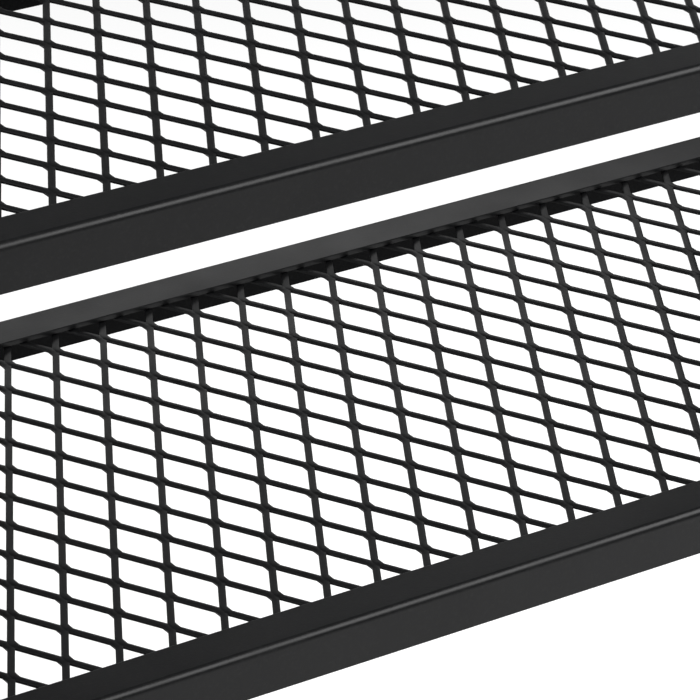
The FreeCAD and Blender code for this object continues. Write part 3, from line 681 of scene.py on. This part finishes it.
def hexagon_tree():
    """A bolt or a nut on every point: head, then shank, then tip, along +Z from the point."""
    maker = NodeMaker("hexagon_hardware", {
        "Corner Radius": "Float", "Head": "Float", "Shank Radius": "Float", "Length": "Float",
        "Spin": "Float", "Turn": "Vector", "Has Shank": "Bool", "Material": "Material"})

    def drum(sides, low_radius, high_radius, depth, height):
        cone = maker.add("GeometryNodeMeshCone", {
            "Vertices": sides, "Radius Bottom": low_radius, "Radius Top": high_radius,
            "Depth": depth})
        lift = maker.add("ShaderNodeCombineXYZ", {"Z": height})
        return maker.add("GeometryNodeTransform", {"Geometry": cone, "Translation": lift})

    corner, head = maker.size("Corner Radius"), maker.size("Head")
    radius, length = maker.size("Shank Radius"), maker.size("Length")
    taper = maker.math("MULTIPLY", head, TAPER)
    small = maker.math("MULTIPLY", corner, TAPER_RADIUS)
    hexagon = maker.tree.nodes.new("GeometryNodeJoinGeometry")
    maker.tree.links.new(drum(HEXAGON, small, corner, taper, 0.0), hexagon.inputs[0])
    rest = maker.math("SUBTRACT", head, taper)
    maker.tree.links.new(drum(HEXAGON, corner, corner, rest, taper), hexagon.inputs[0])
    spin = maker.add("ShaderNodeCombineXYZ", {"Z": maker.size("Spin")})
    spun = maker.add("GeometryNodeTransform", {"Geometry": hexagon.outputs[0], "Rotation": spin})
    tip_place = maker.math("SUBTRACT", length, TIP)
    body = maker.math("SUBTRACT", tip_place, head)
    shank = maker.tree.nodes.new("GeometryNodeJoinGeometry")
    maker.tree.links.new(drum(ROUND, radius, radius, body, head), shank.inputs[0])
    narrow = maker.math("SUBTRACT", radius, TIP_NARROWING)
    maker.tree.links.new(drum(ROUND, radius, narrow, TIP, tip_place), shank.inputs[0])
    chosen = maker.add("GeometryNodeSwitch", {"Switch": maker.size("Has Shank"),
                                              "True": shank.outputs[0]}, input_type="GEOMETRY")
    whole = maker.tree.nodes.new("GeometryNodeJoinGeometry")
    maker.tree.links.new(spun, whole.inputs[0])
    maker.tree.links.new(chosen, whole.inputs[0])
    placed = maker.add("GeometryNodeInstanceOnPoints", {
        "Points": maker.size("Geometry"), "Instance": whole.outputs[0],
        "Rotation": maker.size("Turn")})
    maker.end(placed, maker.size("Material"))
    return maker


hexagons = hexagon_tree()
print("hexagon tree:", len(hexagons.tree.nodes), "nodes")

# %% Grow the bolts and nuts
POST_BOLT = {"head": 5.5 * MM, "radius": 4.0 * MM}
PIVOT_BOLT = {"head": 10.0 * MM, "radius": 8.0 * MM}
CLAMP_BOLT = {"head": 7.5 * MM, "radius": 6.0 * MM}
AT_THE_END = 0.05 * MM


def box_of(points):
    low = Vector([min(point[axis] for point in points) for axis in range(3)])
    high = Vector([max(point[axis] for point in points) for axis in range(3)])
    return low, high


def head_side(points, low, high, axis):
    """Which end along an axis is the wide one: -1 or +1."""
    middle = (low + high) / 2

    def reach(end):
        ring = [point - middle for point in points if abs(point[axis] - end) < AT_THE_END]
        return max(math.hypot(*(offset[other] for other in range(3) if other != axis))
                   for offset in ring)

    return -1 if reach(low[axis]) > reach(high[axis]) else 1


def hexagon_piece(node, body, kind, facing=None, axis=0):
    """Bolts, or nuts if facing says which way their open face looks (+1 away from the middle).

    The tree grows a bolt from its head along +Z, so it is turned onto the X or the Y axis.
    """
    solids = loose_solids(node)
    boxes = [box_of(points) for points in solids]
    low, high = boxes[0]
    if facing is None:
        side = head_side(solids[0], low, high, axis)
    else:
        side = facing * (1 if low.x + high.x > 0 else -1)
    size = high - low
    cross, corner_way = (size.y, size.z) if axis == 0 else (size.z, size.x)
    flats = min(cross, corner_way)
    places = []
    for near, far in boxes:
        place = (near + far) / 2
        place[axis] = near[axis] if side < 0 else far[axis]
        places.append(place)
    quarter = side * math.pi / 2
    piece = grow(f"hex_{node}", hexagons, {
        "Corner Radius": flats / math.sqrt(3), "Head": kind["head"], "Shank Radius": kind["radius"],
        "Length": size[axis], "Spin": 0.0 if corner_way > cross else math.radians(30),
        "Turn": (0.0, -quarter, 0.0) if axis == 0 else (quarter, 0.0, 0.0),
        "Has Shank": facing is None, "Material": zinc,
    }, zinc, places)
    piece.data.shade_smooth()
    piece.data.set_sharp_from_angle(angle=SHARP)
    print(piece.name, "solids", len(solids), "flats", round(flats / MM, 2), "mm, side", side)
    return fit_in(piece, body, "zinc", node)


for side in SIDES:
    hexagon_piece(f"post_bolts_{side}", "decks", POST_BOLT)
    hexagon_piece(f"post_nuts_{side}", "decks", POST_BOLT, facing=-1)
hexagon_piece("pivot_bolt", "shank", PIVOT_BOLT)
hexagon_piece("pivot_nut", "shank", PIVOT_BOLT, facing=1)
hexagon_piece("clamp_bolt", "shank", CLAMP_BOLT)
hexagon_piece("centre_post_bolts", "decks", POST_BOLT, axis=1)

# %% [markdown]
# ## Tack welds
# The sheets are held by short welds between their strands and the underside of the flanges. A
# welder lays one about every second opening, and no two are the same size. One bead is a small
# flattened ball. A fixed seed gives each its own size and turn, so the row looks hand made but
# comes out the same every time.

# %% The tack weld tree
BEAD_SEED = 7
BEAD_SIZE = (4.5 * MM, 3.2 * MM, 1.3 * MM)
BEAD_SPREAD = 0.28
BEAD_SPIN = 40.0
BEAD_EVERY = 2 * SHORT_WAY
BEAD_INSET = 6.0 * MM


def bead_tree():
    """A bead on every point; one random number gives both its size and its turn."""
    maker = NodeMaker("tack_welds", {"Bead Size": "Vector", "Spread": "Float", "Seed": "Int",
                                     "Material": "Material"})
    ball = maker.add("GeometryNodeMeshIcoSphere", {"Radius": 1.0, "Subdivisions": 2})
    flat = maker.add("GeometryNodeTransform", {"Geometry": ball, "Scale": maker.size("Bead Size")})
    low = maker.math("SUBTRACT", 1.0, maker.size("Spread"))
    scale = maker.tree.nodes.new("FunctionNodeRandomValue")
    scale.data_type = "FLOAT"
    maker.tree.links.new(low, scale.inputs[2])
    scale.inputs[3].default_value = 1.0
    maker.tree.links.new(maker.size("Seed"), scale.inputs["Seed"])
    turned = maker.math("MULTIPLY", scale.outputs[1], BEAD_SPIN)
    spin = maker.add("ShaderNodeCombineXYZ", {"Z": turned})
    placed = maker.add("GeometryNodeInstanceOnPoints", {
        "Points": maker.size("Geometry"), "Instance": flat, "Rotation": spin,
        "Scale": scale.outputs[1]})
    maker.end(placed, maker.size("Material"))
    return maker


beads = bead_tree()


def bead_places(deck):
    """Evenly along the underside of all four flanges, a little way in from their free edges."""
    rear_low, rear_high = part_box(f"{deck}_rear_rail")
    front_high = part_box(f"{deck}_front_rail")[1]
    height = rear_high.z - WALL
    margin = LEG - BEAD_INSET
    low_x, high_x = rear_low.x + margin, rear_high.x - margin
    low_y, high_y = rear_low.y + margin, front_high.y - margin
    along = int((high_x - low_x) / BEAD_EVERY)
    across = int((high_y - low_y) / BEAD_EVERY)
    xs = [low_x + (high_x - low_x) * step / along for step in range(along + 1)]
    ys = [low_y + (high_y - low_y) * step / across for step in range(1, across)]
    return ([Vector((x, y, height)) for x in xs for y in (low_y, high_y)]
            + [Vector((x, y, height)) for y in ys for x in (low_x, high_x)])


for number, deck in enumerate(DECKS):
    places = bead_places(deck)
    welds = grow(f"tack_welds_{deck}", beads, {
        "Bead Size": BEAD_SIZE, "Spread": BEAD_SPREAD, "Seed": BEAD_SEED + number,
        "Material": frame_black}, frame_black, places)
    welds.data.shade_smooth()
    print(welds.name, "beads", len(places))
    fit_in(welds, "decks", "frame_black")

# %% [markdown]
# ## Finishes for the CAD pieces
# The shank, beam, yoke plates and saddles already have their true shape in CAD, so they keep it
# and only get a finish.

# %% Coat the CAD nodes
for part in frame["record"]["subparts"]:
    node = frame["nodes"][part["node"]]
    node.data.materials.clear()
    node.data.materials.append(FINISHES[part["material_slot"]])

# %% [markdown]
# ## Floor and light
# A plain pale floor and soft studio lights. The carrier hangs on its shank at about the height
# of a receiver, so the floor is well below it and takes only a faint shade. One large softbox
# overhead gives the floor its even white. A smaller one, high behind the carrier and to its
# right, draws the bright line along the rounded corner of each bar. A low card in front of the
# carrier shines back at the lower front bar and brightens its flat top.

# %% Floor, lights and world
FLOOR_DROP = 0.45
FLOOR_REACH = 30.0
WORLD_STRENGTH = 0.12
floor_corners = [Vector((x * FLOOR_REACH, y * FLOOR_REACH, cad_low.z - FLOOR_DROP))
                 for x, y in ((-1, -1), (1, -1), (1, 1), (-1, 1))]
floor_finish, floor_tree, floor_shader = shader_nodes("pale_floor")
floor_tone = mix_colours(floor_tree, noise(floor_tree, 3, 2), (0.88, 0.88, 0.88), (0.9, 0.9, 0.9))
floor_tree.links.new(floor_tone, floor_shader.inputs["Base Color"])
floor_shader.inputs["Roughness"].default_value = 0.9
floor_shader.inputs["Specular IOR Level"].default_value = 0.1
new_piece("floor", floor_corners, [(0, 1, 2, 3)], floor_finish)


def softbox(name, place, target, width, height, power):
    """A rectangular area light that looks at a point."""
    data = bpy.data.lights.new(name, "AREA")
    data.shape = "RECTANGLE"
    data.size, data.size_y, data.energy = width, height, power
    light = bpy.data.objects.new(name, data)
    facing = (place - target).to_track_quat("Z", "Y").to_matrix().to_4x4()
    light.matrix_world = Matrix.Translation(place) @ facing
    bpy.context.scene.collection.objects.link(light)
    return light


softbox("overhead_softbox", place=AIM + Vector((-1.6, 0.8, 3.0)),
        target=AIM + Vector((0.6, 0.8, -0.5)), width=3.0, height=3.0, power=130)
softbox("edge_softbox", place=AIM + Vector((1.4, -1.6, 1.85)),
        target=AIM + Vector((0, -0.15, 0)), width=2.8, height=1.5, power=140)
card = softbox("low_front_card", place=Vector((0.68, 0.0, 0.29)),
               target=Vector((0.35, -0.41, 0.05)), width=1.1, height=0.16, power=0.95)
card.visible_camera = False

world = bpy.data.worlds.new("studio")
world.use_nodes = True
background = world.node_tree.nodes["Background"]
background.inputs["Color"].default_value = (1, 1, 1, 1)
background.inputs["Strength"].default_value = WORLD_STRENGTH
bpy.context.scene.world = world
bpy.context.scene.view_settings.view_transform = "Standard"
